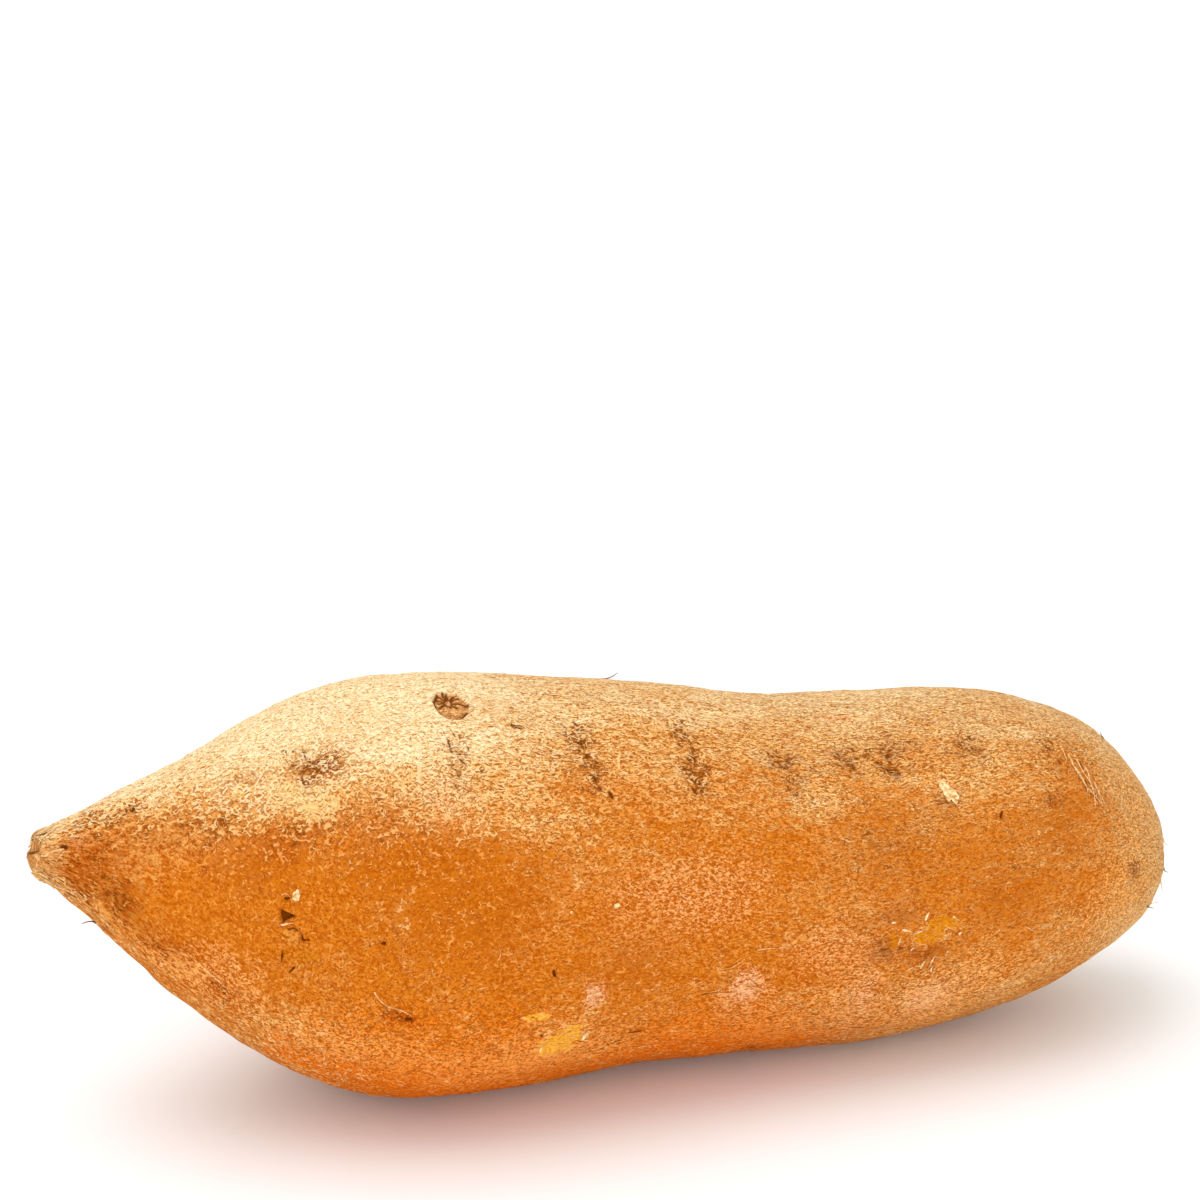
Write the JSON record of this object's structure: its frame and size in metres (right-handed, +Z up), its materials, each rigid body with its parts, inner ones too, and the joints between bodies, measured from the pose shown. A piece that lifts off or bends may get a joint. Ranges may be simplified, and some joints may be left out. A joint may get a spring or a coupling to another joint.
{
  "type": "sweet potato",
  "caption": "Whole raw orange sweet potato: one tapered storage root with a pointed root end and a blunt crown, lying on its side.",
  "frame": {"origin": "on the resting plane, under the middle of the root's box seen from above", "axes": "+X along the root from its pointed root end to its blunt crown, +Z up, with the root lying on its side as it rests on a table"},
  "size_m": [0.1832, 0.0646, 0.0644],
  "materials": {
    "skin": "dry, matte, slightly fibrous orange skin with a pale dusty top"
  },
  "bodies": {
    "root": {"sweet_potato": "skin"}
  },
  "joints": []
}
